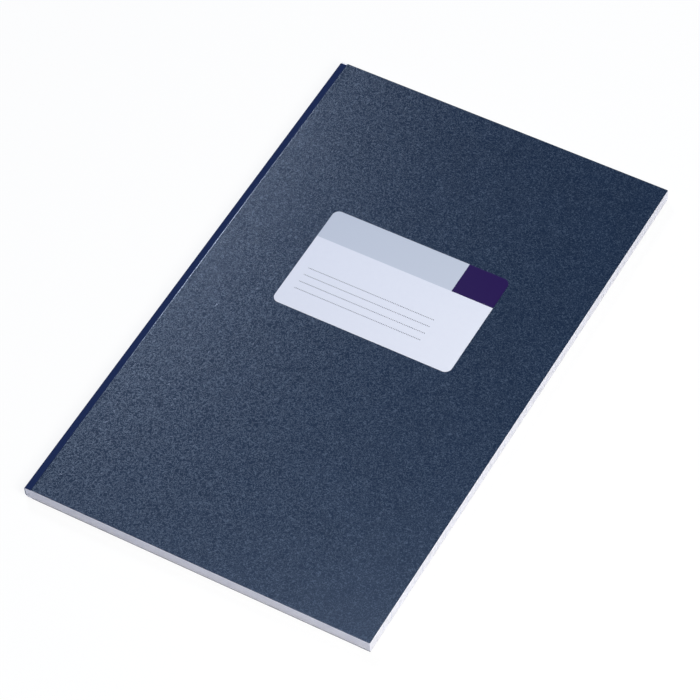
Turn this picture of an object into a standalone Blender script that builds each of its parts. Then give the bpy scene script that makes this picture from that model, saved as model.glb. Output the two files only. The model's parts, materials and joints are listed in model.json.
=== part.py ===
"""A sewn folio notebook, cut flush, with a cloth tape round its spine, lying shut on its back cover.

Metres, +Z up. X runs across the covers from the spine (-X) to the fore-edge (+X), Y runs along the
spine from the tail (-Y) to the head (+Y), and Z = 0 is the table under the back cover.
"""

import math

import bmesh
import bpy
from mathutils import Matrix, Vector

# Trimmed book
BOOK_WIDTH = 0.203
BOOK_HEIGHT = 0.330

# Thickness of each sheet of paper, board and cloth
LEAF = 0.00008
ENDPAPER = 0.00010
COVER_PAPER = 0.00012
BOARD_OVER_TAPE = 0.00020
TAPE = 0.00018
LABEL = 0.00010

# Air and glue between neighbours
GLUE_LINE = 0.00002
LEAF_GAP = 0.00002
SECTION_GAP = 0.00005
COVER_GAP = 0.00005
TIP_GAP = 0.00003
HINGE_GAP = 0.00005

# Sections: folded sheets, one inside the other, sewn through the fold
SECTIONS = 6
SHEETS_PER_SECTION = 4
THREAD_DIAMETER = 0.00014
SEWING_STATIONS = 4
STATION_SPACING = 0.084
THREAD_TAIL = 0.006
KERF_WIDTH = 0.0012
KERF_PAST_FOLD = 0.0002
STITCH_SLANT = 0.0008

# Spine tape: creased over the front edge of the spine, rounded under the back one, then lapped under the covers
FRONT_ROLL = 0.0006
BACK_ROLL = 0.0022
TAPE_SHOWN = 0.00405
TAPE_LAP = 0.0042
TAPE_SHORT_AT_HEAD = 0.0009

# Title label on the front cover
LABEL_WIDTH = 0.107
LABEL_HEIGHT = 0.0698
LABEL_CORNER = 0.004
LABEL_FROM_SPINE = 0.0505
LABEL_ABOVE_TAIL = 0.1651

# Hinge lines: those of the covers lie outside the label, the middle one just above the gap that opens
HINGE_LIFT = 0.00021
OPENING_LIFT = 0.00010

# Facets of the round stretches
FOLD_FACETS = 6
ROLL_FACETS = 7
CORNER_FACETS = 6
STITCH_FACETS = 4
THREAD_FACET_STEPS = 1

# Thicknesses that follow
rebate = TAPE + GLUE_LINE
board = BOARD_OVER_TAPE + rebate
fold_gap = THREAD_DIAMETER + 2 * LEAF_GAP
fold_core = fold_gap / 2
section_half = fold_core + SHEETS_PER_SECTION * LEAF + (SHEETS_PER_SECTION - 1) * LEAF_GAP
section = 2 * section_half
section_pitch = section + SECTION_GAP

# Heights of the back half, counted up from the table
back_board_low = COVER_PAPER + GLUE_LINE
back_board_high = back_board_low + board
back_pastedown_low = back_board_high + GLUE_LINE
back_flyleaf_low = back_pastedown_low + ENDPAPER + COVER_GAP
sections_low = back_flyleaf_low + ENDPAPER + TIP_GAP
sections_high = sections_low + SECTIONS * section_pitch - SECTION_GAP
book_mid = (sections_low + sections_high) / 2
book_high = 2 * book_mid

# The tape lies between the boards and the endpapers, let into the boards
tape_low = back_board_high - TAPE
tape_high = book_high - tape_low
roll_low = tape_low + BACK_ROLL
roll_high = tape_high - FRONT_ROLL
rolls = {"back": BACK_ROLL, "front": FRONT_ROLL}

# Distances from the outer face of the spine
tape_end = TAPE_SHOWN + TAPE_LAP
hinge_line = {side: roll + HINGE_GAP for side, roll in rolls.items()}

TAIL = -BOOK_HEIGHT / 2
HEAD = BOOK_HEIGHT / 2


def mirrored(low, high):
    """The same two heights, measured down from the front cover."""
    return book_high - high, book_high - low


def across(from_spine):
    return from_spine - BOOK_WIDTH / 2


def section_low(number):
    """Section 1 lies under the front cover, the last one on the back cover."""
    return sections_low + (SECTIONS - number) * section_pitch


def tape_setback(height, depth):
    """How far a layer of the tape, this deep in the cloth, stands from the spine's outer face."""
    roll = BACK_ROLL if height < book_mid else FRONT_ROLL
    past_roll = max(roll_low - height, height - roll_high, 0)
    return roll - math.sqrt((roll - depth) ** 2 - past_roll**2)


def fold_centre(number):
    """Centre of a section's folds: their round backs and the thread outside them clear the tape."""
    middle = section_low(number) + section_half
    outward = math.copysign(section_half / 2, middle - book_mid)
    thread_side = tape_setback(middle + outward, TAPE) + COVER_GAP
    fold_back = thread_side + THREAD_DIAMETER + GLUE_LINE
    return fold_back + section_half, middle


# Scene
for leftover in list(bpy.data.objects):
    bpy.data.objects.remove(leftover)
book = bpy.data.collections.new("lined_notebook")
cutters = bpy.data.collections.new("cutters")
bpy.context.scene.collection.children.link(book)
bpy.context.scene.collection.children.link(cutters)


def finish(name, colour, roughness):
    material = bpy.data.materials.new(name)
    material.use_nodes = True
    shader = material.node_tree.nodes["Principled BSDF"]
    shader.inputs["Base Color"].default_value = (*colour, 1)
    shader.inputs["Roughness"].default_value = roughness
    shader.inputs["Metallic"].default_value = 0
    return material


page_paper = finish("page paper", (0.82, 0.83, 0.86), 0.75)
end_paper = finish("endpaper", (0.80, 0.81, 0.84), 0.75)
white_board = finish("white pasteboard", (0.80, 0.80, 0.84), 0.80)
leather_paper = finish("leather-grain paper", (0.050, 0.075, 0.120), 0.55)
spine_cloth = finish("book cloth tape", (0.012, 0.020, 0.085), 0.70)
linen_thread = finish("linen thread", (0.80, 0.78, 0.72), 0.80)
label_paper = finish("label paper", (0.80, 0.82, 0.88), 0.60)


# Hinges: one empty on each axis, each carried by the one before
hinge_places = {}


def hinge(name, from_spine, height, parent):
    """An empty on a hinge axis, which runs along Y."""
    empty = bpy.data.objects.new(name, None)
    empty.empty_display_size = BOOK_WIDTH / 10
    place = Vector((across(from_spine), 0, height))
    empty.parent = parent
    empty.location = place - (hinge_places[parent.name] if parent else Vector())
    hinge_places[name] = place
    book.objects.link(empty)
    print(f"{name}: x {place.x:.6f}, z {place.z:.6f}")
    return empty


def hang(piece, carrier, material):
    """Puts a piece in the book, on the hinge that carries it, where it already lies."""
    piece.parent = carrier
    piece.matrix_parent_inverse = Matrix.Translation(-hinge_places[carrier.name])
    piece.data.materials.append(material)
    if piece.name not in book.objects:
        book.objects.link(piece)
    return piece


def slab(name, x_span, y_span, z_span, carrier, material):
    """A flat rectangular sheet."""
    low = Vector((across(x_span[0]), y_span[0], z_span[0]))
    high = Vector((across(x_span[1]), y_span[1], z_span[1]))
    mesh = bpy.data.meshes.new(name)
    shape = bmesh.new()
    bmesh.ops.create_cube(shape, size=1, matrix=Matrix.Diagonal((*(high - low), 1)))
    shape.to_mesh(mesh)
    shape.free()
    piece = bpy.data.objects.new(name, mesh)
    piece.location = (low + high) / 2
    return hang(piece, carrier, material)


def flat_curve(name, points, closed):
    """A 2D curve through points, drawn in its own XY plane."""
    curve = bpy.data.curves.new(name, "CURVE")
    curve.dimensions = "2D"
    curve.fill_mode = "BOTH" if closed else "NONE"
    spline = curve.splines.new("POLY")
    spline.points.add(len(points) - 1)
    for point, (first, second) in zip(spline.points, points):
        point.co = (first, second, 0, 1)
    spline.use_cyclic_u = closed
    return bpy.data.objects.new(name, curve)


def run_along_spine(piece, y_span):
    """Stands a flat curve up in the XZ plane and draws it out along Y."""
    piece.data.extrude = (y_span[1] - y_span[0]) / 2
    piece.rotation_euler.x = math.pi / 2
    piece.location.y = (y_span[0] + y_span[1]) / 2
    return piece


def bent_sheet(name, path, thickness, y_span):
    """A sheet that bends only across the spine: a ribbon with a thickness."""
    outline = [(across(x), z) for x, z in path]
    piece = run_along_spine(flat_curve(name, outline, closed=False), y_span)
    thicken = piece.modifiers.new("thickness", "SOLIDIFY")
    thicken.thickness = thickness
    thicken.offset = 0
    thicken.use_even_offset = True
    return piece


def as_mesh(piece):
    """The same piece as a mesh, so that it can be cut."""
    name = piece.name
    book.objects.link(piece)
    bpy.context.view_layer.update()
    evaluated = piece.evaluated_get(bpy.context.evaluated_depsgraph_get())
    mesh = bpy.data.meshes.new_from_object(evaluated)
    shape = bmesh.new()
    shape.from_mesh(mesh)
    bmesh.ops.remove_doubles(shape, verts=shape.verts, dist=GLUE_LINE / 100)
    shape.to_mesh(mesh)
    shape.free()
    place = piece.matrix_world.copy()
    bpy.data.objects.remove(piece)
    mesh.name = name
    solid = bpy.data.objects.new(name, mesh)
    solid.matrix_world = place
    return solid


# Sections
def station_places():
    middle = (SEWING_STATIONS - 1) / 2
    return [(index - middle) * STATION_SPACING for index in range(SEWING_STATIONS)]


def kerf_cutter(number):
    """Boxes that open the folds of one section where the thread goes through them."""
    centre, middle = fold_centre(number)
    mesh = bpy.data.meshes.new(f"kerfs_{number}")
    shape = bmesh.new()
    depth = centre + KERF_PAST_FOLD
    size = Matrix.Diagonal((depth, KERF_WIDTH, section_pitch, 1))
    for place in station_places():
        spot = Matrix.Translation((across(depth / 2), place, middle))
        bmesh.ops.create_cube(shape, size=1, matrix=spot @ size)
    shape.to_mesh(mesh)
    shape.free()
    cutter = bpy.data.objects.new(f"kerfs_{number}", mesh)
    cutter.hide_render = True
    cutter.display_type = "WIRE"
    cutters.objects.link(cutter)
    return cutter


def folded_sheet(number, sheet, cutter, carrier):
    """One sheet of a section: two leaves and the fold between them, sheet 1 outermost."""
    centre, middle = fold_centre(number)
    radius = section_half - LEAF / 2 - (sheet - 1) * (LEAF + LEAF_GAP)
    path = [(BOOK_WIDTH, middle + radius)]
    for step in range(FOLD_FACETS + 1):
        turn = math.pi * step / FOLD_FACETS
        path.append((centre - radius * math.sin(turn), middle + radius * math.cos(turn)))
    path.append((BOOK_WIDTH, middle - radius))
    piece = as_mesh(bent_sheet(f"section_{number}_sheet_{sheet}", path, LEAF, (TAIL, HEAD)))
    cut = piece.modifiers.new("kerfs", "BOOLEAN")
    cut.operation = "DIFFERENCE"
    cut.object = cutter
    return hang(piece, carrier, page_paper)


def sewing_thread(number, carrier):
    """A running stitch: along the inside of the fold, out at a kerf, along the back, in at the next."""
    centre, middle = fold_centre(number)
    inside = centre + LEAF_GAP
    outside = centre - section_half - GLUE_LINE - THREAD_DIAMETER / 2
    stations = station_places()
    route = [(inside, stations[0] - THREAD_TAIL)]
    start, goal = inside, outside
    for place in stations:
        for step in range(STITCH_FACETS + 1):
            share = step / STITCH_FACETS
            swing = (1 - math.cos(math.pi * share)) / 2
            route.append((start + (goal - start) * swing, place + (share - 0.5) * STITCH_SLANT))
        start, goal = goal, start
    route.append((start, stations[-1] + THREAD_TAIL))
    curve = bpy.data.curves.new(f"section_{number}_thread", "CURVE")
    curve.dimensions = "3D"
    curve.bevel_depth = THREAD_DIAMETER / 2
    curve.bevel_resolution = THREAD_FACET_STEPS
    curve.use_fill_caps = True
    spline = curve.splines.new("POLY")
    spline.points.add(len(route) - 1)
    for point, (x, y) in zip(spline.points, route):
        point.co = (across(x), y, middle, 1)
    return hang(bpy.data.objects.new(curve.name, curve), carrier, linen_thread)


# Spine tape
def roll_arc(roll, centre_height, low, high):
    """Points along the middle of the tape where it rounds over an edge of the spine."""
    mid_radius = roll - TAPE / 2
    first = math.asin(max(-1, (low - centre_height) / mid_radius))
    last = math.asin(min(1, (high - centre_height) / mid_radius))
    facets = max(1, round(ROLL_FACETS * (last - first) / (math.pi / 2)))
    arc = []
    for step in range(facets + 1):
        turn = first + (last - first) * step / facets
        arc.append((roll - mid_radius * math.cos(turn), centre_height + mid_radius * math.sin(turn)))
    return arc


def tape_strip(number, carrier):
    """The stretch of tape on the back of one section; the outer two round over to the covers."""
    low = section_low(number)
    high = low + section
    if number == 1:
        high = tape_high - TAPE / 2
    if number == SECTIONS:
        low = tape_low + TAPE / 2
    if high > roll_high:
        path = roll_arc(FRONT_ROLL, roll_high, max(low, roll_high), high)
        if low < roll_high:
            path.insert(0, (tape_setback(low, TAPE / 2), low))
    elif low < roll_low:
        path = roll_arc(BACK_ROLL, roll_low, low, min(high, roll_low))
        if high > roll_low:
            path.append((tape_setback(high, TAPE / 2), high))
    else:
        path = [(tape_setback(height, TAPE / 2), height) for height in (low, high)]
    strip = bent_sheet(f"spine_tape_{number}", path, TAPE, (TAIL, HEAD - TAPE_SHORT_AT_HEAD))
    return hang(strip, carrier, spine_cloth)


# Covers
def cover(side, z_of, carrier):
    """Board, covering paper, pastedown and the flap of tape that hinges them; z_of turns heights over."""
    whole = (TAIL, HEAD)
    paper_x = (TAPE_SHOWN, BOOK_WIDTH)
    slab(f"{side}_cover_paper", paper_x, whole, z_of(0, COVER_PAPER), carrier, leather_paper)

    faces = z_of(back_board_low, back_board_high)
    outer, inner = faces if side == "back" else reversed(faces)
    step = inner - math.copysign(rebate, inner - outer)
    rebate_end = tape_end + HINGE_GAP
    outline = [
        (across(TAPE_SHOWN), outer),
        (across(BOOK_WIDTH), outer),
        (across(BOOK_WIDTH), inner),
        (across(rebate_end), inner),
        (across(rebate_end), step),
        (across(TAPE_SHOWN), step),
    ]
    panel = run_along_spine(flat_curve(f"{side}_board", outline, closed=True), whole)
    hang(panel, carrier, white_board)

    pasted = z_of(back_pastedown_low, back_pastedown_low + ENDPAPER)
    slab(f"{side}_pastedown", (hinge_line[side], BOOK_WIDTH), whole, pasted, carrier, end_paper)

    flap = z_of(tape_low, tape_low + TAPE)
    flap_x = (hinge_line[side], tape_end)
    flap_y = (TAIL, HEAD - TAPE_SHORT_AT_HEAD)
    slab(f"tape_flap_{side}", flap_x, flap_y, flap, carrier, spine_cloth)


def flyleaf(side, z_of, carrier):
    """The loose half of an endpaper, tipped on to the section beside it."""
    heights = z_of(back_flyleaf_low, back_flyleaf_low + ENDPAPER)
    leaf_x = (hinge_line[side], BOOK_WIDTH)
    slab(f"{side}_flyleaf", leaf_x, (TAIL, HEAD), heights, carrier, end_paper)


def title_label(carrier):
    """Paper label with rounded corners, pasted on the front cover."""
    half_x = LABEL_WIDTH / 2
    half_y = LABEL_HEIGHT / 2
    outline = []
    for corner in range(4):
        side_x = 1 if corner in (0, 3) else -1
        side_y = 1 if corner in (0, 1) else -1
        for step in range(CORNER_FACETS + 1):
            turn = math.pi / 2 * (corner + step / CORNER_FACETS)
            x = side_x * (half_x - LABEL_CORNER) + LABEL_CORNER * math.cos(turn)
            y = side_y * (half_y - LABEL_CORNER) + LABEL_CORNER * math.sin(turn)
            outline.append((x, y))
    label = flat_curve("label", outline, closed=True)
    label.data.extrude = LABEL / 2
    label.location = (
        across(LABEL_FROM_SPINE + half_x),
        TAIL + LABEL_ABOVE_TAIL + half_y,
        book_high + GLUE_LINE + LABEL / 2,
    )
    hang(label, carrier, label_paper)


def from_table(low, high):
    return low, high


# Assembly, from the back cover up
base = hinge("back_cover_base", BOOK_WIDTH / 2, 0, None)
cover("back", from_table, base)

carrier = base
for number in range(SECTIONS, 0, -1):
    if number == SECTIONS:
        axis = (hinge_line["back"], -HINGE_LIFT)
    elif number == SECTIONS // 2:
        axis = (0, section_low(number) - SECTION_GAP / 2 + OPENING_LIFT)
    else:
        axis = (0, section_low(number) - SECTION_GAP / 2)
    carrier = hinge(f"section_{number}_hinge", *axis, carrier)
    cutter = kerf_cutter(number)
    for sheet in range(1, SHEETS_PER_SECTION + 1):
        folded_sheet(number, sheet, cutter, carrier)
    sewing_thread(number, carrier)
    tape_strip(number, carrier)
    if number == SECTIONS:
        flyleaf("back", from_table, carrier)

flyleaf("front", mirrored, carrier)
carrier = hinge("front_cover_hinge", hinge_line["front"], book_high + HINGE_LIFT, carrier)
cover("front", mirrored, carrier)
title_label(carrier)
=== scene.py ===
# %% [markdown]
# A lined notebook, dressed for its photograph.
# The book is a thin folio: sewn sections between two thin boards, covered in slate-blue paper with a leather
# grain, with a navy cloth tape round the spine and a white label on the front. The solids of the book are
# loaded first and never move. What follows gives each piece the surface that the real one has.

# %% Load the solids
import json
import math
import random

import bmesh
import bpy
from mathutils import Matrix, Vector

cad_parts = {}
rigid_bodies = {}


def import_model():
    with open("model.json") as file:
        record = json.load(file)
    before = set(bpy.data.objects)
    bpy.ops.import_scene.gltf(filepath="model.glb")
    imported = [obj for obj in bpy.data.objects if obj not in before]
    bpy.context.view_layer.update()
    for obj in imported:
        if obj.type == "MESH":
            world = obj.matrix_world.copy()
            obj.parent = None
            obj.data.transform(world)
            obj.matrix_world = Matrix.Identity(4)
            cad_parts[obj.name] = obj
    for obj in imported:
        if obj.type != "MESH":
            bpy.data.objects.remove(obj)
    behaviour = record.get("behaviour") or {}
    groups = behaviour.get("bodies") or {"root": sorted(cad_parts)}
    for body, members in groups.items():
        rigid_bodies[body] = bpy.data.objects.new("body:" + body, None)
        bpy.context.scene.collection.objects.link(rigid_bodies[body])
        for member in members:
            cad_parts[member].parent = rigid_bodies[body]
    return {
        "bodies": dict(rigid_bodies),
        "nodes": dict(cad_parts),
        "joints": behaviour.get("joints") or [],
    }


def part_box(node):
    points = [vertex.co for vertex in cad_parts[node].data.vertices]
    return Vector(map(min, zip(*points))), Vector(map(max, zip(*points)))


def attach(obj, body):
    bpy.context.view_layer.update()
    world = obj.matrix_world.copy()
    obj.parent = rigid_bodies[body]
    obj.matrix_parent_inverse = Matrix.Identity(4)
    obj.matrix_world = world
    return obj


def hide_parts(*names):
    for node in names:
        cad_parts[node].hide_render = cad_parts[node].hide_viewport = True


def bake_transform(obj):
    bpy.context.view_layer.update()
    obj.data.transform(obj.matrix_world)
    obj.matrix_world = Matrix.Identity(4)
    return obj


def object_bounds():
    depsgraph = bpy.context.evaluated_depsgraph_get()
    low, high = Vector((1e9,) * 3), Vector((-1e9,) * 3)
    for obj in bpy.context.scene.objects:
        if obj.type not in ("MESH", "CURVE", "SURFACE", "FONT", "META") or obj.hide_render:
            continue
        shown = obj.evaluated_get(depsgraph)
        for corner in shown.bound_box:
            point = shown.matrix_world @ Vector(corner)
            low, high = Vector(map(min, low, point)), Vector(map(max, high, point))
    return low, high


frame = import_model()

cad_low, cad_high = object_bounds()
MM = 0.001
print("solids:", len(frame["nodes"]), "box in mm:", [round(x / MM, 2) for x in cad_high - cad_low])

# %% [markdown]
# Camera.
# The book was photographed from above its near corner with a long lens, so its edges stay almost parallel. A
# camera can be placed by hand until the outline fits, or worked out from the four corners of the cover, which
# is quicker and exact. The values below are that answer, written as a photographer would say it: where the
# lens points, how far away it is, how high, how far round, and how much the camera is tilted.

# %% Camera
LENS_MM = 190.20
CAMERA_AZIMUTH = 32.287
CAMERA_ELEVATION = 52.275
CAMERA_ROLL = -3.600
CAMERA_DISTANCE = 1.9391
CAMERA_TARGET = Vector((0.00280, -0.00998, 0.00757))
NEAREST_SEEN = 0.05
FARTHEST_SEEN = 50


def aim(thing, place, target, roll=0.0):
    """Puts a camera or a lamp at a place and turns its -Z axis to a target."""
    turn = (place - target).to_track_quat("Z", "Y").to_matrix().to_4x4()
    thing.matrix_world = Matrix.Translation(place) @ turn @ Matrix.Rotation(roll, 4, "Z")


def around(azimuth, elevation):
    """The direction from the book to a viewer; azimuth 0 stands at the tail."""
    a = math.radians(azimuth)
    e = math.radians(elevation)
    return Vector((math.sin(a) * math.cos(e), -math.cos(a) * math.cos(e), math.sin(e)))


scene = bpy.context.scene
camera = bpy.data.objects.new("camera", bpy.data.cameras.new("camera"))
scene.collection.objects.link(camera)
camera.data.lens = LENS_MM
camera.data.clip_start = NEAREST_SEEN
camera.data.clip_end = FARTHEST_SEEN
viewpoint = CAMERA_TARGET + CAMERA_DISTANCE * around(CAMERA_AZIMUTH, CAMERA_ELEVATION)
aim(camera, viewpoint, CAMERA_TARGET, math.radians(CAMERA_ROLL))
scene.camera = camera
scene.view_settings.view_transform = "Standard"
print("camera at", [round(x, 3) for x in camera.matrix_world.translation])

# %% [markdown]
# Two small helpers for materials.
# Colours are written as the hex values that a paint program shows, and one function turns them to the linear
# values that Blender mixes light with. One other function adds a node, sets it and links it, so that a
# material reads as a list of what feeds what.


# %% Colour and node helpers
def linear(hex_colour):
    """A colour such as #2f3f55 as linear red, green, blue and alpha, by the sRGB curve."""
    channels = []
    for start in (1, 3, 5):
        value = int(hex_colour[start:start + 2], 16) / 255
        channels.append(value / 12.92 if value <= 0.04045 else ((value + 0.055) / 1.055) ** 2.4)
    return (*channels, 1.0)


def add_node(tree, kind, settings=None, **feeds):
    """Adds a node. A feed is a value or a socket, named for its input: From_Min, or in3 for number 3."""
    node = tree.nodes.new("ShaderNode" + kind)
    for name, value in (settings or {}).items():
        setattr(node, name, value)
    for name, feed in feeds.items():
        place = int(name[2:]) if name[:2] == "in" and name[2:].isdigit() else name.replace("_", " ")
        socket = node.inputs[place]
        if isinstance(feed, bpy.types.NodeSocket):
            tree.links.new(feed, socket)
        else:
            socket.default_value = feed
    return node


def new_material(name):
    """An empty material and its shader, ready for nodes."""
    material = bpy.data.materials.new(name)
    material.use_nodes = True
    return material, material.node_tree, material.node_tree.nodes["Principled BSDF"]


print("a mid grey is", [round(x, 3) for x in linear("#808080")])

# %% [markdown]
# Studio.
# The photograph is a cut-out on white. Here the book lies on a white floor under three soft boxes and a pale
# blue sky. The strong light behind the spine is the one that the cover mirrors: it makes the sheen that is
# strongest along the spine and dies away towards the far fore-edge corner. The weaker one overhead lifts the
# tail of the cover. Both are a little cool, as daylight is. The box at the right stands low, to light the
# fore-edge, and is a shade warmer. The floor shows white to the camera and keeps part of its shadow, so that
# the book still stands on something.

# %% Floor
FLOOR_DROP = 0.05 * MM
FLOOR_SIZE = 30
SHADOW_KEPT = 0.14
FLOOR_BOUNCE = "#EAEDFF"
WHITE = "#FFFFFF"

floor_mesh = bpy.data.meshes.new("floor")
floor_shape = bmesh.new()
bmesh.ops.create_grid(floor_shape, x_segments=1, y_segments=1, size=FLOOR_SIZE / 2)
floor_shape.to_mesh(floor_mesh)
floor_shape.free()
floor = bpy.data.objects.new("floor", floor_mesh)
floor.location.z = cad_low.z - FLOOR_DROP
scene.collection.objects.link(floor)

floor_paint, tree, shader = new_material("matt white studio floor")
tree.nodes.remove(shader)
rays = add_node(tree, "LightPath").outputs
seen = rays["Is Camera Ray"]
for ray in ("Is Glossy Ray", "Is Transmission Ray"):
    seen = add_node(tree, "Math", {"operation": "MAXIMUM"}, in0=seen, in1=rays[ray]).outputs[0]
bounce = add_node(tree, "BsdfDiffuse", Color=linear(FLOOR_BOUNCE)).outputs[0]
shaded = add_node(tree, "BsdfDiffuse", Color=linear(WHITE)).outputs[0]
white = add_node(tree, "Emission", Color=linear(WHITE), Strength=1.0).outputs[0]
shown = add_node(tree, "MixShader", in0=SHADOW_KEPT, in1=white, in2=shaded).outputs[0]
surface = add_node(tree, "MixShader", in0=seen, in1=bounce, in2=shown).outputs[0]
tree.links.new(surface, tree.nodes["Material Output"].inputs["Surface"])
floor_mesh.materials.append(floor_paint)
print("floor", FLOOR_DROP / MM, "mm under the book, keeping", SHADOW_KEPT, "of its shadow")

# %% Soft boxes and sky
DAYLIGHT = "#E8F0FF"
STUDIO_WHITE = "#FFFCF2"
SKY_BLUE = "#D2DFFF"
SKY_STRENGTH = 0.15


def soft_box(name, place, side, glow, colour):
    """A square lamp. Glow is how bright its face looks, where 1 is white paper in full light."""
    lamp = bpy.data.lights.new(name, "AREA")
    lamp.color = linear(colour)[:3]
    lamp.shape = "SQUARE"
    lamp.size = side
    lamp.energy = glow * math.pi * side**2
    thing = bpy.data.objects.new(name, lamp)
    scene.collection.objects.link(thing)
    aim(thing, Vector(place), Vector((0, 0, 0)))
    return thing


lamps = [
    soft_box("spine_side_soft_box", (-1.71, 1.59, 1.78), side=0.58, glow=33.0, colour=DAYLIGHT),
    soft_box("fore_edge_soft_box", (0.77, -0.36, 0.85), side=0.62, glow=9.8, colour=STUDIO_WHITE),
    soft_box("overhead_soft_box", (-0.425, 0.46, 2.20), side=0.77, glow=4.8, colour=DAYLIGHT),
]
sky = bpy.data.worlds.new("pale sky")
scene.world = sky
sky.use_nodes = True
sky_light = sky.node_tree.nodes["Background"]
sky_light.inputs["Color"].default_value = linear(SKY_BLUE)
sky_light.inputs["Strength"].default_value = SKY_STRENGTH
print("lamps:", [lamp.name for lamp in lamps], "sky:", SKY_STRENGTH)

# %% [markdown]
# Sizes that the solids give.
# Nothing is measured twice: where a piece begins and ends is read from the solid that it stands for, so the
# dressed book fits the solid one without any adjusting.

# %% Sizes from the solids
X, Y, Z = range(3)


def span(node, axis):
    """Where a solid begins and ends along an axis."""
    low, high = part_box(node)
    return low[axis], high[axis]


SECTIONS = sum(name.startswith("section_") for name in frame["bodies"])
SHEETS = sum(name.startswith("section_1_sheet_") for name in frame["nodes"])
tail, head = span("front_board", Y)
spine_face = cad_low.x
print("sections:", SECTIONS, "sheets in each:", SHEETS, "spine face at", round(spine_face / MM, 2))

# %% [markdown]
# Leather-grain paper.
# The cover is strong paper with a coloured coating, pressed between rollers that leave a fine leather grain:
# short wrinkles that twist into each other, about a millimetre apart. The roller polishes the hollows that it
# presses. The crests stay duller, spread the light of a lamp wider and look paler. A ridge shows wherever a
# noise pattern crosses its own middle value, and bending the place before the pattern is read makes the
# ridges twist. The grain is too fine for geometry, so it is a bump. From this far a ridge is hardly a pixel
# wide and its two slopes cancel out, so the light that the crests catch is painted into the dye as a paler
# crest colour, a painted sheen, and the grain is in the gloss as well. Raising it to a power keeps the pale
# crests narrow and the ground between them dark.

# %% Leather-grain paper
WRINKLE_MM = 1.15
TWIST_MM = 2.0
TWIST_REACH_MM = 0.8
TOOTH_MM = 0.58
CLOUD_MM = 16.0
NOISE_MIDDLE = 0.5
NOISE_REACH = 0.25
RIDGE_REACH = 0.16
GROUND = 0.50
CREST = 2.2
GRAIN_HEIGHT = 0.010 * MM
DYE_SHARPNESS = 3.2
GLOSS_SHARPNESS = 1.75
HOLLOW_ROUGHNESS = 0.186
CREST_ROUGHNESS = 0.60
CLOUD_NOISE = (0.3, 0.7)
CLOUD_SHADE = (0.96, 1.04)
COATING_IOR = 1.57
COATING_TINT = "#DEECFF"


def millimetres(tree):
    """Places on the piece in millimetres, as a vector socket."""
    metres = add_node(tree, "TexCoord").outputs["Object"]
    return add_node(tree, "VectorMath", {"operation": "SCALE"}, in0=metres, Scale=1 / MM).outputs[0]


def leather_height(tree, place):
    """The height of the grain: ridges where twisted noise crosses its middle, and a fine tooth over them."""
    drift = add_node(tree, "TexNoise", in0=place, Scale=1 / TWIST_MM, Detail=1.0).outputs["Color"]
    middle = (NOISE_MIDDLE, NOISE_MIDDLE, NOISE_MIDDLE)
    centred = add_node(tree, "VectorMath", {"operation": "SUBTRACT"}, in0=drift, in1=middle).outputs[0]
    reach = TWIST_REACH_MM / NOISE_REACH
    twist = add_node(tree, "VectorMath", {"operation": "SCALE"}, in0=centred, Scale=reach).outputs[0]
    twisted = add_node(tree, "VectorMath", {"operation": "ADD"}, in0=place, in1=twist).outputs[0]
    folds = add_node(tree, "TexNoise", in0=twisted, Scale=1 / WRINKLE_MM, Detail=0.0).outputs["Fac"]
    off_middle = add_node(tree, "Math", {"operation": "SUBTRACT"}, in0=folds, in1=NOISE_MIDDLE).outputs[0]
    from_crest = add_node(tree, "Math", {"operation": "ABSOLUTE"}, in0=off_middle).outputs[0]
    smooth = {"interpolation_type": "SMOOTHSTEP"}
    ridge = add_node(
        tree, "MapRange", smooth, Value=from_crest, From_Min=RIDGE_REACH, From_Max=0.0
    ).outputs[0]
    tooth = add_node(tree, "TexNoise", in0=place, Scale=1 / TOOTH_MM, Detail=0.0).outputs["Fac"]
    return add_node(tree, "Math", {"operation": "ADD"}, in0=tooth, in1=ridge).outputs[0]


def leather_grain_paper(name, hollow_colour, crest_colour_with_painted_sheen):
    material, tree, shader = new_material(name)
    place = millimetres(tree)
    height = leather_height(tree, place)
    tone = add_node(tree, "MapRange", Value=height, From_Min=GROUND, From_Max=CREST).outputs[0]

    # The crests get a paler dye: a painted sheen for the light that the ridges catch. The gloss below is
    # real.
    pale = add_node(tree, "Math", {"operation": "POWER"}, in0=tone, in1=DYE_SHARPNESS).outputs[0]
    hollow = linear(hollow_colour)
    crest = linear(crest_colour_with_painted_sheen)
    dyed = add_node(tree, "Mix", {"data_type": "RGBA"}, Factor=pale, in6=hollow, in7=crest).outputs[2]
    clouds = add_node(tree, "TexNoise", in0=place, Scale=1 / CLOUD_MM, Detail=3.0).outputs["Fac"]
    cloudy = add_node(
        tree,
        "MapRange",
        Value=clouds,
        From_Min=CLOUD_NOISE[0],
        From_Max=CLOUD_NOISE[1],
        To_Min=CLOUD_SHADE[0],
        To_Max=CLOUD_SHADE[1],
    ).outputs[0]
    finished = add_node(tree, "VectorMath", {"operation": "SCALE"}, in0=dyed, Scale=cloudy).outputs[0]
    tree.links.new(finished, shader.inputs["Base Color"])

    dull = add_node(tree, "Math", {"operation": "POWER"}, in0=tone, in1=GLOSS_SHARPNESS).outputs[0]
    roughness = add_node(
        tree, "MapRange", Value=dull, To_Min=HOLLOW_ROUGHNESS, To_Max=CREST_ROUGHNESS
    ).outputs[0]
    tree.links.new(roughness, shader.inputs["Roughness"])
    bump = add_node(tree, "Bump", Strength=1.0, Distance=GRAIN_HEIGHT, Height=height).outputs[0]
    tree.links.new(bump, shader.inputs["Normal"])
    shader.inputs["IOR"].default_value = COATING_IOR
    shader.inputs["Specular Tint"].default_value = linear(COATING_TINT)
    return material


slate_leather_paper = leather_grain_paper("slate leather-grain paper", "#12243C", "#475F76")
print("grain: wrinkles", WRINKLE_MM, "mm apart,", GRAIN_HEIGHT / MM, "mm deep")

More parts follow.
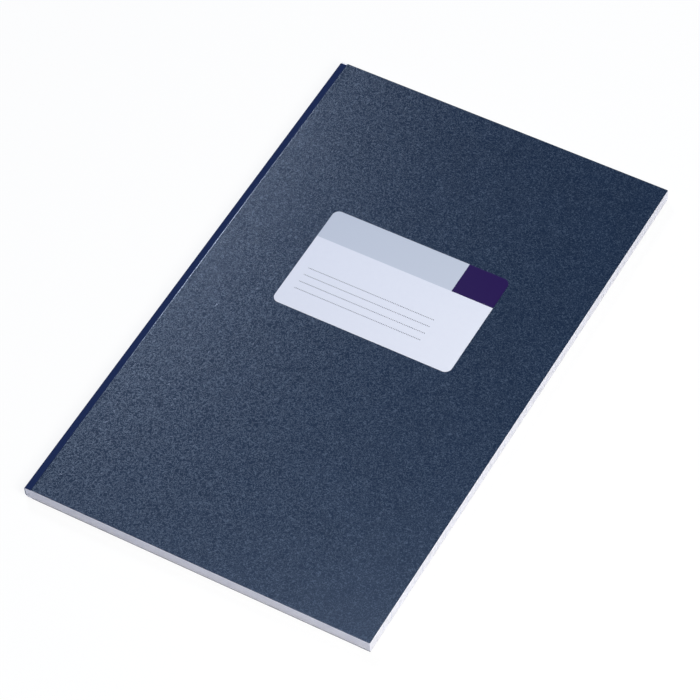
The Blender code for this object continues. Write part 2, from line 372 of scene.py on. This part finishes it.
# %% [markdown]
# Book cloth.
# The tape is cotton book cloth, woven plain, dyed navy and filled with starch so that glue doesn't come
# through. Cloth has almost no gloss. The threads of such a cloth are about a quarter of a millimetre apart,
# which is less than half a pixel here, so the weave is drawn twice as coarse to show at all.

# %% Book cloth
THREAD_SPACING_MM = 0.5
SLUB_MM = 1.5
SLUB_SHARE = 1.2
WEAVE_UNDER = -0.5
WEAVE_OVER = 1.8
WEAVE_HEIGHT = 0.03 * MM
WEAVE_STRENGTH = 0.6
CLOTH_ROUGHNESS = 0.8
CLOTH_IOR = 1.25


def book_cloth(name, dye, painted_thread_highlight):
    material, tree, shader = new_material(name)
    place = add_node(tree, "UVMap", {"uv_map": "cloth_mm"}).outputs[0]
    parts = add_node(tree, "SeparateXYZ", in0=place).outputs
    waves = []
    for part in (parts["X"], parts["Y"]):
        per_mm = math.pi / THREAD_SPACING_MM
        turn = add_node(tree, "Math", {"operation": "MULTIPLY"}, in0=part, in1=per_mm).outputs[0]
        waves.append(add_node(tree, "Math", {"operation": "SINE"}, in0=turn).outputs[0])
    weave = add_node(tree, "Math", {"operation": "MULTIPLY"}, in0=waves[0], in1=waves[1]).outputs[0]
    slubs = add_node(tree, "TexNoise", in0=place, Scale=1 / SLUB_MM, Detail=4.0).outputs["Fac"]
    height = add_node(
        tree, "Math", {"operation": "MULTIPLY_ADD"}, in0=slubs, in1=SLUB_SHARE, in2=weave
    ).outputs[0]
    # The colour follows the height of the weave: painted highlight where threads and slubs stand up, painted
    # shade where threads pass under. The slubs also vary the tone at random.
    light = add_node(tree, "MapRange", Value=height, From_Min=WEAVE_UNDER, From_Max=WEAVE_OVER).outputs[0]
    colour = add_node(
        tree, "Mix", {"data_type": "RGBA"}, Factor=light, in6=linear(dye), in7=linear(painted_thread_highlight)
    ).outputs[2]
    tree.links.new(colour, shader.inputs["Base Color"])
    bump = add_node(tree, "Bump", Strength=WEAVE_STRENGTH, Distance=WEAVE_HEIGHT, Height=height).outputs[0]
    tree.links.new(bump, shader.inputs["Normal"])
    shader.inputs["Roughness"].default_value = CLOTH_ROUGHNESS
    shader.inputs["IOR"].default_value = CLOTH_IOR
    return material


navy_book_cloth = book_cloth("navy book cloth", "#0A1A3C", "#182C5C")
print("weave drawn at", THREAD_SPACING_MM, "mm")

# %% [markdown]
# Paper.
# Writing paper is bleached wood pulp with a little blue in it to look whiter. Its faces are calendered smooth
# but not glossy. Cut edges show the ends of the leaves, a shade greyer because light sinks in between them.
# The ruling is pale blue-grey feint: one material draws it from the place on the page in millimetres, so the
# lines meet the edge of the sheet as printed ones do. A printed line is a quarter of a millimetre wide, and
# is drawn a little wider to survive at this distance. The boards are the same pulp, pasted thick, and the
# cut ends of the tape are undyed threads, so both share this function.

# %% Paper
RULING_PITCH_MM = 8.0
RULING_WIDTH_MM = 0.34
HEAD_MARGIN_MM = 28.0
FOOT_MARGIN_MM = 14.0
TAIL_SHADE_MM = 0.5
PULP_MM = 2.2
PULP_NOISE = (0.35, 0.65)
PAPER_TOOTH = 0.01 * MM
PAPER_TOOTH_STRENGTH = 0.3
PAPER_IOR = 1.45
PAPER_ROUGHNESS = 0.7
BOARD_ROUGHNESS = 0.8
THREAD_END_ROUGHNESS = 0.85


def ruling_mask(tree, up_page):
    """White on the lines of a ruled page and black between them."""
    first_line = head / MM - HEAD_MARGIN_MM
    depth = (head - tail) / MM - HEAD_MARGIN_MM - FOOT_MARGIN_MM
    half_depth = depth / 2
    down = add_node(tree, "Math", {"operation": "SUBTRACT"}, in0=first_line, in1=up_page).outputs[0]
    off_line = add_node(tree, "Math", {"operation": "PINGPONG"}, in0=down, in1=RULING_PITCH_MM / 2).outputs[0]
    on_line = add_node(
        tree, "Math", {"operation": "LESS_THAN"}, in0=off_line, in1=RULING_WIDTH_MM / 2
    ).outputs[0]
    reach = half_depth + RULING_WIDTH_MM
    ruled = add_node(tree, "Math", {"operation": "COMPARE"}, in0=down, in1=half_depth, in2=reach).outputs[0]
    return add_node(tree, "Math", {"operation": "MULTIPLY"}, in0=on_line, in1=ruled).outputs[0]


def pulp_paper(name, colour, shade, roughness=PAPER_ROUGHNESS, ruling=None, tail_shade=None):
    """Uncoated paper: cloudy pulp, a faint tooth, and a ruling or painted tail shade where there is one."""
    material, tree, shader = new_material(name)
    place = millimetres(tree)
    pulp = add_node(tree, "TexNoise", in0=place, Scale=1 / PULP_MM, Detail=4.0).outputs["Fac"]
    cloud = add_node(tree, "MapRange", Value=pulp, From_Min=PULP_NOISE[0], From_Max=PULP_NOISE[1]).outputs[0]
    tint = add_node(
        tree, "Mix", {"data_type": "RGBA"}, Factor=cloud, in6=linear(shade), in7=linear(colour)
    ).outputs[2]
    marks = []
    if ruling or tail_shade:
        up_page = add_node(tree, "SeparateXYZ", in0=place).outputs["Y"]
    if ruling:
        marks.append((ruling_mask(tree, up_page), ruling))
    if tail_shade:
        # The last half millimetre at the tail is painted dark grey: a painted contact shadow at the foot of
        # the book.
        unshaded_from = tail / MM + TAIL_SHADE_MM
        in_tail_shade = add_node(tree, "Math", {"operation": "LESS_THAN"}, in0=up_page, in1=unshaded_from).outputs[0]
        marks.append((in_tail_shade, tail_shade))
    for mask, ink in marks:
        tint = add_node(tree, "Mix", {"data_type": "RGBA"}, Factor=mask, in6=tint, in7=linear(ink)).outputs[2]
    tree.links.new(tint, shader.inputs["Base Color"])
    bump = add_node(tree, "Bump", Strength=PAPER_TOOTH_STRENGTH, Distance=PAPER_TOOTH, Height=pulp).outputs[0]
    tree.links.new(bump, shader.inputs["Normal"])
    shader.inputs["Roughness"].default_value = roughness
    shader.inputs["IOR"].default_value = PAPER_IOR
    return material


ruled_page = pulp_paper("ruled writing paper", "#F4F4F8", "#EFEFF5", ruling="#A9BAD6")
endpaper = pulp_paper("plain endpaper", "#F1F1F6", "#EBEBF2")
# Every other sheet gets a darker copy of the edge colour: painted shade for the faint streaks that leaves in
# slight shade draw.
leaf_edges = [
    pulp_paper("guillotined leaf edges, painted lighter", "#F2F2F7", "#ECECF2"),
    pulp_paper("guillotined leaf edges, painted shade", "#EBEBF1", "#E4E4EB"),
]
white_board = pulp_paper("white pasteboard", "#FDFDFE", "#F8F8FB", BOARD_ROUGHNESS)
tail_shaded_board = pulp_paper(
    "white pasteboard, painted shade at the tail", "#F6F6FB", "#EFEFF6", BOARD_ROUGHNESS, tail_shade="#5C5E66"
)
cut_threads = pulp_paper(
    "undyed threads at the cut ends of the cloth", "#D2D4DE", "#B9BCCB", THREAD_END_ROUGHNESS
)
print("ruling:", RULING_PITCH_MM, "mm pitch")

# %% [markdown]
# Label paper.
# The label is smooth white coated paper, printed flat: a grey band along the top, a dark violet block at its
# right end, and four rows of fine dots to write on. Printing has no thickness, so it is drawn in the
# material, by asking of each point how far it lies from the label's top left corner. Each ink goes where all
# its limits are met, one ink over another, as on a press. The dots are half a millimetre on the real label
# and are kept at that.

# %% Label paper
label_low, label_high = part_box("label")
BAND_DEPTH_MM = 20.6
BLOCK_WIDTH_MM = 24.9
BLEED_MM = 1.0
DOTTED_FROM_MM = 7.0
DOTTED_TO_MM = 83.5
FIRST_DOTTED_MM = 42.0
DOTTED_STEP_MM = 5.0
DOTTED_ROWS = 4
DOTTED_REACH_MM = 1.0
DOT_PITCH_MM = 1.0
DOT_MM = 0.5
INK_GLOSS = 0.15
LABEL_ROUGHNESS = 0.55
LABEL_IOR = 1.45


def printed_label_paper(name, papers, grey_ink, violet_ink, dot_ink):
    material, tree, shader = new_material(name)
    place = millimetres(tree)
    parts = add_node(tree, "SeparateXYZ", in0=place).outputs
    left_edge = label_low.x / MM
    top_edge = label_high.y / MM
    right = add_node(tree, "Math", {"operation": "SUBTRACT"}, in0=parts["X"], in1=left_edge).outputs[0]
    down = add_node(tree, "Math", {"operation": "SUBTRACT"}, in0=top_edge, in1=parts["Y"]).outputs[0]
    past_first = add_node(tree, "Math", {"operation": "SUBTRACT"}, in0=down, in1=FIRST_DOTTED_MM).outputs[0]
    off_row = add_node(
        tree, "Math", {"operation": "PINGPONG"}, in0=past_first, in1=DOTTED_STEP_MM / 2
    ).outputs[0]
    off_dot = add_node(tree, "Math", {"operation": "PINGPONG"}, in0=right, in1=DOT_PITCH_MM / 2).outputs[0]

    width = (label_high.x - label_low.x) / MM
    last_dotted = FIRST_DOTTED_MM + (DOTTED_ROWS - 1) * DOTTED_STEP_MM
    in_band = (down, -BLEED_MM, BAND_DEPTH_MM)
    in_block = (right, width - BLOCK_WIDTH_MM, width + BLEED_MM)
    on_dot = (off_dot, -DOT_MM / 2, DOT_MM / 2)
    on_row = (off_row, -DOT_MM / 2, DOT_MM / 2)
    along_rows = (right, DOTTED_FROM_MM, DOTTED_TO_MM)
    across_rows = (down, FIRST_DOTTED_MM - DOTTED_REACH_MM, last_dotted + DOTTED_REACH_MM)
    inks = [
        (grey_ink, [in_band]),
        (violet_ink, [in_band, in_block]),
        (dot_ink, [on_dot, on_row, along_rows, across_rows]),
    ]

    fibre = add_node(tree, "TexNoise", in0=place, Scale=1 / PULP_MM, Detail=3.0).outputs["Fac"]
    dark, light = (linear(paper) for paper in papers)
    printed = add_node(tree, "Mix", {"data_type": "RGBA"}, Factor=fibre, in6=dark, in7=light).outputs[2]
    for ink, limits in inks:
        inked = 1.0
        for value, low, high in limits:
            middle = (low + high) / 2
            reach = (high - low) / 2
            met = add_node(
                tree, "Math", {"operation": "COMPARE"}, in0=value, in1=middle, in2=reach
            ).outputs[0]
            inked = add_node(tree, "Math", {"operation": "MULTIPLY"}, in0=inked, in1=met).outputs[0]
        printed = add_node(
            tree, "Mix", {"data_type": "RGBA"}, Factor=inked, in6=printed, in7=linear(ink)
        ).outputs[2]
    tree.links.new(printed, shader.inputs["Base Color"])
    shader.inputs["Roughness"].default_value = LABEL_ROUGHNESS
    shader.inputs["IOR"].default_value = LABEL_IOR
    shader.inputs["Specular IOR Level"].default_value = INK_GLOSS
    return material


coated_label = printed_label_paper(
    "printed label paper",
    papers=("#DDE0EC", "#E1E4EF"),
    grey_ink="#C1C8D6",
    violet_ink="#230F4D",
    dot_ink="#424650",
)
print("label in mm:", [round(x / MM, 1) for x in label_high - label_low])

# %% [markdown]
# Thread.
# The sections are sewn with bleached linen thread. It is buried in the folds and shows only to someone who
# takes the book apart, so it keeps its solid and gets a plain twisted finish: a fine diagonal stripe, as two
# plies make.

# %% Linen thread
PLY_MM = 0.3
THREAD_ROUGHNESS = 0.8


def twisted_thread(name, light, dark):
    material, tree, shader = new_material(name)
    stripes = {"wave_type": "BANDS", "bands_direction": "DIAGONAL"}
    plies = add_node(tree, "TexWave", stripes, in0=millimetres(tree), Scale=1 / PLY_MM).outputs["Fac"]
    colour = add_node(
        tree, "Mix", {"data_type": "RGBA"}, Factor=plies, in6=linear(dark), in7=linear(light)
    ).outputs[2]
    tree.links.new(colour, shader.inputs["Base Color"])
    shader.inputs["Roughness"].default_value = THREAD_ROUGHNESS
    return material


linen_thread = twisted_thread("bleached linen thread", "#ECE8DC", "#CFC9BA")
print("thread plies:", PLY_MM, "mm")

# %% [markdown]
# From a mesh to a piece.
# Every piece below is built as a loose mesh first. One function finishes it: the faces turn outward and are
# shaded smooth, and edges sharper than a given angle stay crisp, as a cut or a fold does.


# %% Finish a mesh
def finished_piece(shape, name, crisp_angle):
    """Turns a mesh that is being built into a piece in the scene."""
    bmesh.ops.recalc_face_normals(shape, faces=shape.faces)
    for face in shape.faces:
        face.smooth = True
    mesh = bpy.data.meshes.new(name)
    shape.to_mesh(mesh)
    shape.free()
    mesh.set_sharp_from_angle(angle=math.radians(crisp_angle))
    piece = bpy.data.objects.new(name, mesh)
    scene.collection.objects.link(piece)
    return piece


print("pieces are smooth but for their crisp edges")

# %% [markdown]
# A ribbon that bends across the spine.
# Leaves, endpapers and the tape are all thin sheets that run straight along the spine and bend only across
# it. One function makes them: it takes the path of the middle of the sheet in the XZ plane, gives it a
# thickness and draws it along Y. A sheet can be cut away between two places along Y, which is how the sewing
# holes in the folds come about. Only faces with nothing against them are made, so the ribbon is always one
# closed skin.

# %% Ribbon maker
RIBBON_CRISP_ANGLE = 40


def side_points(path, thickness):
    """The two faces of a sheet whose middle follows the path, as lists of (x, z)."""
    left = []
    right = []
    for index, (x, z) in enumerate(path):
        before = path[max(index - 1, 0)]
        after = path[min(index + 1, len(path) - 1)]
        along = Vector((after[0] - before[0], after[1] - before[1])).normalized()
        half = thickness[index] / 2
        left.append((x - along.y * half, z + along.x * half))
        right.append((x + along.y * half, z - along.x * half))
    return left, right


def ribbon(name, path, thickness, stations, is_cut=None):
    """A bent sheet along Y, of one thickness or one for each point; is_cut(step, stretch) omits a cell."""
    count = len(path)
    thickness = thickness if isinstance(thickness, list) else [thickness] * count
    left, right = side_points(path, thickness)
    shape = bmesh.new()
    rows = []
    for y in stations:
        sides = [[shape.verts.new((x, y, z)) for x, z in side] for side in (left, right)]
        rows.append(sides)

    def solid(step, stretch):
        if not (0 <= step < count - 1 and 0 <= stretch < len(stations) - 1):
            return False
        return is_cut is None or not is_cut(step, stretch)

    uv_mm = shape.loops.layers.uv.new("cloth_mm")
    reach = [0.0]
    for first, second in zip(path, path[1:]):
        reach.append(reach[-1] + math.dist(first, second))

    def face(corners, edge):
        made = shape.faces.new([rows[row][side][point] for row, side, point in corners])
        made.material_index = 1 if edge else 0
        for loop, (row, side, point) in zip(made.loops, corners):
            loop[uv_mm].uv = (reach[point] / MM, stations[row] / MM)

    for stretch in range(len(stations) - 1):
        a, b = stretch, stretch + 1
        for step in range(count - 1):
            if not solid(step, stretch):
                continue
            i, j = step, step + 1
            face([(a, 0, i), (a, 0, j), (b, 0, j), (b, 0, i)], False)
            face([(a, 1, i), (b, 1, i), (b, 1, j), (a, 1, j)], False)
            if not solid(step - 1, stretch):
                face([(a, 0, i), (b, 0, i), (b, 1, i), (a, 1, i)], True)
            if not solid(step + 1, stretch):
                face([(a, 0, j), (a, 1, j), (b, 1, j), (b, 0, j)], True)
            if not solid(step, stretch - 1):
                face([(a, 0, i), (a, 1, i), (a, 1, j), (a, 0, j)], True)
            if not solid(step, stretch + 1):
                face([(b, 0, i), (b, 0, j), (b, 1, j), (b, 1, i)], True)
    loose = [vertex for vertex in shape.verts if not vertex.link_faces]
    bmesh.ops.delete(shape, geom=loose, context="VERTS")
    return finished_piece(shape, name, RIBBON_CRISP_ANGLE)


def arc(centre, radius, first, last, steps):
    """Points on a circle in the XZ plane, from one angle to another; 0 points to +X, a quarter turn to +Z."""
    points = []
    for step in range(steps + 1):
        turn = first + (last - first) * step / steps
        points.append((centre[0] + radius * math.cos(turn), centre[1] + radius * math.sin(turn)))
    return points


print("ribbon maker ready")

# %% [markdown]
# Folded sheets.
# Each sheet is one piece of paper folded once, with the inner sheets of its section lying inside the fold.
# The guillotine cuts the book's three open sides, but a leaf always slips a hair under the blade, so each
# leaf here ends a few hundredths of a millimetre short, a little differently from its neighbour. That is what
# draws the fine streaks along the edges of a block of paper. The slots sawn in the folds for the thread are
# cut away too.

# %% Folded sheets
LEAF = 0.08 * MM
BLADE_SLIP = 0.06 * MM
FOLD_STEPS = 14
KERF_WIDTH = 1.2 * MM
KERF_PAST_FOLD = 0.2 * MM
KERF_PLACES = [place * MM for place in (-126, -42, 42, 126)]
UPWARD = math.pi / 2
TO_SPINE = math.pi
DOWNWARD = math.pi * 1.5
paper_luck = random.Random(7)


def slip():
    """How far one leaf slips under the blade."""
    return paper_luck.uniform(0, BLADE_SLIP)


def folded_sheet(number, sheet):
    name = f"section_{number}_sheet_{sheet}"
    low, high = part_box(name)
    radius = (high.z - low.z - LEAF) / 2
    centre = (low.x + LEAF / 2 + radius, (low.z + high.z) / 2)
    kerf_end = centre[0] + KERF_PAST_FOLD
    upper = [(high.x - slip(), centre[1] + radius), (kerf_end, centre[1] + radius)]
    lower = [(kerf_end, centre[1] - radius), (high.x - slip(), centre[1] - radius)]
    path = upper + arc(centre, radius, UPWARD, DOWNWARD, FOLD_STEPS) + lower
    stations = [low.y + slip()]
    for place in KERF_PLACES:
        stations += [place - KERF_WIDTH / 2, place + KERF_WIDTH / 2]
    stations.append(high.y - slip())

    def is_kerf(step, stretch):
        return stretch % 2 == 1 and 0 < step < len(path) - 2

    piece = ribbon(f"sheet_{number}_{sheet}", path, LEAF, stations, is_kerf)
    piece.data.materials.append(ruled_page)
    piece.data.materials.append(leaf_edges[(number + sheet) % 2])
    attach(piece, f"section_{number}")
    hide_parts(name)
    return piece


leaves = []
for number in range(1, SECTIONS + 1):
    for sheet in range(1, SHEETS + 1):
        leaves.append(folded_sheet(number, sheet))
print("sheets:", len(leaves), "faces in each:", len(leaves[0].data.polygons))

# %% [markdown]
# Endpapers.
# An endpaper is one sheet folded down the middle: one half is pasted on the board and the other is the first
# leaf of the book. When the cover opens, the fold has to open with it. Here the whole endpaper is one ribbon,
# folded round between its halves.

# %% Endpapers
ENDPAPER_FOLD_STEPS = 12


def folded_endpaper(side):
    pasted_low, pasted_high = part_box(f"{side}_pastedown")
    leaf_low, leaf_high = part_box(f"{side}_flyleaf")
    thickness = leaf_high.z - leaf_low.z
    pasted_z = (pasted_low.z + pasted_high.z) / 2
    leaf_z = (leaf_low.z + leaf_high.z) / 2
    radius = abs(pasted_z - leaf_z) / 2
    centre = (leaf_low.x + radius, (pasted_z + leaf_z) / 2)
    top = max(pasted_z, leaf_z)
    foot = min(pasted_z, leaf_z)
    bend = arc(centre, radius, UPWARD, DOWNWARD, ENDPAPER_FOLD_STEPS)
    path = [(leaf_high.x - slip(), top), *bend, (leaf_high.x - slip(), foot)]
    piece = ribbon(f"{side}_endpaper", path, thickness, [leaf_low.y + slip(), leaf_high.y - slip()])
    piece.data.materials.append(endpaper)
    piece.data.materials.append(leaf_edges[0])
    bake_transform(piece)
    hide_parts(f"{side}_pastedown", f"{side}_flyleaf")
    return piece


front_endpaper = folded_endpaper("front")
back_endpaper = folded_endpaper("back")
print("endpapers:", front_endpaper.name, back_endpaper.name)

# %% [markdown]
# Spine tape.
# On the real book the tape is one strip of cloth, and it bends wherever the book opens. Here the strip is
# laid in seven lengths, one across each hinge. They meet end to end at the middle of each section, where the
# cloth is glued down and doesn't bend. The cloth is creased, and so thinner, on each hinge. Its cut ends show
# undyed threads.

# %% Where the tape runs
tape_tail, tape_head = span("spine_tape_1", Y)
TAPE = span("spine_tape_3", X)[1] - span("spine_tape_3", X)[0]
flap_end = span("tape_flap_front", X)[1]
face_height = {
    "back": span("tape_flap_back", Z)[0] + TAPE / 2,
    "front": span("tape_flap_front", Z)[1] - TAPE / 2,
}
roll_end = {"back": span(f"spine_tape_{SECTIONS}", X)[1], "front": span("spine_tape_1", X)[1]}
roll_radius = {side: end - spine_face - TAPE / 2 for side, end in roll_end.items()}
roll_centre = {
    "back": (roll_end["back"], face_height["back"] + roll_radius["back"]),
    "front": (roll_end["front"], face_height["front"] - roll_radius["front"]),
}
hinges = {joint["child"]: joint for joint in frame["joints"]}


def section_middle(number):
    return sum(span(f"section_{number}_sheet_1", Z)) / 2


def tape_x(height):
    """Where the middle of the cloth stands at a height, round the back of the book."""
    side = "back" if height < roll_centre["back"][1] else "front"
    past_roll = max(roll_centre["back"][1] - height, height - roll_centre["front"][1], 0)
    return roll_end[side] - math.sqrt(roll_radius[side] ** 2 - past_roll**2)


rolls_mm = [round(radius / MM, 2) for radius in roll_radius.values()]
print("tape:", round(TAPE / MM, 2), "mm thick, rolls in mm:", rolls_mm)

# %% Spine tape
CREASE_LEFT = 0.35
CREASE_REACH = 0.12 * MM
ROLL_STEPS = 20
GLUED_STEPS = 24
FRONT_BEND = (-0.4 * MM, 0.3 * MM)
BACK_BEND = (-0.5 * MM, 0.5 * MM)


def lay_cloth(name, path, thickness, stands_for):
    piece = ribbon(name, path, thickness, [tape_tail, tape_head])
    piece.data.materials.append(navy_book_cloth)
    piece.data.materials.append(cut_threads)
    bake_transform(piece)
    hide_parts(*stands_for)
    return piece


def tape_over_gap(number):
    """The length of tape from the middle of one section to the middle of the next one up."""
    below = number + 1
    hinge_height = hinges[f"section_{number}"]["pos_m"][2]
    low = section_middle(below)
    high = section_middle(number)
    path = []
    thickness = []
    for step in range(GLUED_STEPS + 1):
        height = low + (high - low) * step / GLUED_STEPS
        crease = math.exp(-(((height - hinge_height) / CREASE_REACH) ** 2))
        thin = TAPE * (1 - (1 - CREASE_LEFT) * crease)
        path.append((tape_x(height) - (TAPE - thin) / 2, height))
        thickness.append(thin)
    return lay_cloth(
        f"tape_{below}_to_{number}",
        path,
        thickness,
        stands_for=[f"spine_tape_{number}"],
    )


def tape_over_edge(side, section, bend, stands_for):
    """The length of tape that goes round an edge of the spine and on under a cover, bending past the roll."""
    centre = roll_centre[side]
    radius = roll_radius[side]
    face = face_height[side]
    outward = 1 if side == "front" else -1
    over = UPWARD if side == "front" else DOWNWARD
    rise = outward * (section_middle(section) - centre[1])
    path = [] if rise > 0 else [(spine_face + TAPE / 2, section_middle(section))]
    first = TO_SPINE - outward * math.asin(max(rise, 0) / radius)
    path += arc(centre, radius, first, over, ROLL_STEPS)
    bend_to = roll_end[side] + bend[1]
    path += [(bend_to, face), (flap_end, face)]
    return lay_cloth(
        f"tape_{side}_edge",
        path,
        TAPE,
        stands_for=stands_for,
    )


tape = [tape_over_gap(number) for number in range(SECTIONS - 1, 0, -1)]
tape.append(tape_over_edge("front", 1, FRONT_BEND, ["tape_flap_front"]))
back_strips = ["tape_flap_back", f"spine_tape_{SECTIONS}"]
tape.append(tape_over_edge("back", SECTIONS, BACK_BEND, back_strips))
print("lengths of tape:", [piece.name for piece in tape])

# %% [markdown]
# Cover papers.
# The paper is pasted on the board and trimmed with it. The blade presses the front one's edge down, so the
# last half millimetre rolls over: it turns away from the lamp at the tail and fore-edge, which draws the thin
# dark line there, and towards it along the spine, where the line is light. The back paper hardly rolls, so
# its dark cut edge draws the line at the foot. A bevel does this, made on a plate that is first drawn too
# thick and then flattened, so that the roll is wide but hardly deep. The corners are rubbed a little round
# and show the pale board under them.

# %% Cover papers
EDGE_ROLL = 0.55 * MM
EDGE_DROP = {"front": 0.085 * MM, "back": 0.015 * MM}
CORNER_RUB = 0.6 * MM
ROLL_SEGMENTS = 6
CORNER_SEGMENTS = 5
PLATE_CRISP_ANGLE = 50
ROUND_BEVEL = {"profile": 0.5, "affect": "EDGES"}


def pressed_plate(name, low, high, drop, outward):
    """A thin plate whose outer face rolls over at its edges; outward is 1 where that face looks up."""
    size = high - low
    stretch = EDGE_ROLL / drop
    shape = bmesh.new()
    bmesh.ops.create_cube(shape, size=1, matrix=Matrix.Diagonal((size.x, size.y, size.z * stretch, 1)))
    upright = []
    for edge in shape.edges:
        first, second = (vertex.co for vertex in edge.verts)
        if abs(first.z - second.z) > size.z and first.x > 0:
            upright.append(edge)
    bmesh.ops.bevel(shape, geom=upright, offset=CORNER_RUB, segments=CORNER_SEGMENTS, **ROUND_BEVEL)
    outer = [edge for edge in shape.edges if min(vertex.co.z for vertex in edge.verts) > 0]
    bmesh.ops.bevel(shape, geom=outer, offset=EDGE_ROLL, segments=ROLL_SEGMENTS, **ROUND_BEVEL)
    bmesh.ops.transform(shape, matrix=Matrix.Diagonal((1, 1, outward / stretch, 1)), verts=shape.verts)
    bmesh.ops.translate(shape, vec=(low + high) / 2, verts=shape.verts)
    return finished_piece(shape, name, PLATE_CRISP_ANGLE)


cover_papers = []
for side, outward in (("front", 1), ("back", -1)):
    low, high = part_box(f"{side}_cover_paper")
    paper = pressed_plate(f"{side}_leather_paper", low, high, EDGE_DROP[side], outward)
    paper.data.materials.append(slate_leather_paper)
    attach(paper, f"{side}_cover")
    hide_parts(f"{side}_cover_paper")
    cover_papers.append(paper)
print("cover papers:", [len(paper.data.polygons) for paper in cover_papers], "faces")

# %% [markdown]
# Label.
# A die cuts the label with round corners. Its outline is four arcs joined by straight sides, filled, drawn up
# by the thickness of the paper, with the sharp upper edge eased.

# %% Label
LABEL_CORNER = 4.0 * MM
LABEL_CORNER_STEPS = 16
LABEL_EASE = 0.03 * MM
LABEL_EASE_SEGMENTS = 3
QUARTERS = ((1, 1), (-1, 1), (-1, -1), (1, -1))


def die_cut_label(name):
    half = (label_high - label_low) / 2
    centre = (label_high + label_low) / 2
    shape = bmesh.new()
    corners = []
    for quarter, (side_x, side_y) in enumerate(QUARTERS):
        for step in range(LABEL_CORNER_STEPS + 1):
            turn = math.pi / 2 * (quarter + step / LABEL_CORNER_STEPS)
            x = side_x * (half.x - LABEL_CORNER) + LABEL_CORNER * math.cos(turn)
            y = side_y * (half.y - LABEL_CORNER) + LABEL_CORNER * math.sin(turn)
            corners.append(shape.verts.new((centre.x + x, centre.y + y, label_low.z)))
    sheet = shape.faces.new(corners)
    raised = bmesh.ops.extrude_face_region(shape, geom=[sheet])["geom"]
    lifted = [part for part in raised if isinstance(part, bmesh.types.BMVert)]
    bmesh.ops.translate(shape, vec=(0, 0, 2 * half.z), verts=lifted)
    rim = [edge for edge in shape.edges if all(vertex in lifted for vertex in edge.verts)]
    bmesh.ops.bevel(shape, geom=rim, offset=LABEL_EASE, segments=LABEL_EASE_SEGMENTS, **ROUND_BEVEL)
    return finished_piece(shape, name, PLATE_CRISP_ANGLE)


title_label = die_cut_label("title_label")
title_label.data.materials.append(coated_label)
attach(title_label, "front_cover")
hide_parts("label")
print("label faces:", len(title_label.data.polygons))

# %% [markdown]
# Boards and thread.
# These solids already have the right shape, so they stay, and only their finish changes: white pasteboard,
# which shows as a fine pale line round the covers, and the linen thread in the folds. The back board's edge
# is painted dark grey along the tail: a painted contact shadow where the book stands on the floor.


# %% Boards and thread
def refinish(node, material):
    """Gives a solid that stays in view its finish."""
    solid = frame["nodes"][node]
    if not solid.material_slots:
        solid.data.materials.append(material)
    for slot in solid.material_slots:
        slot.material = material


refinish("front_board", white_board)
refinish("back_board", tail_shaded_board)
for number in range(1, SECTIONS + 1):
    refinish(f"section_{number}_thread", linen_thread)
print("kept solids:", [name for name, solid in frame["nodes"].items() if not solid.hide_render])
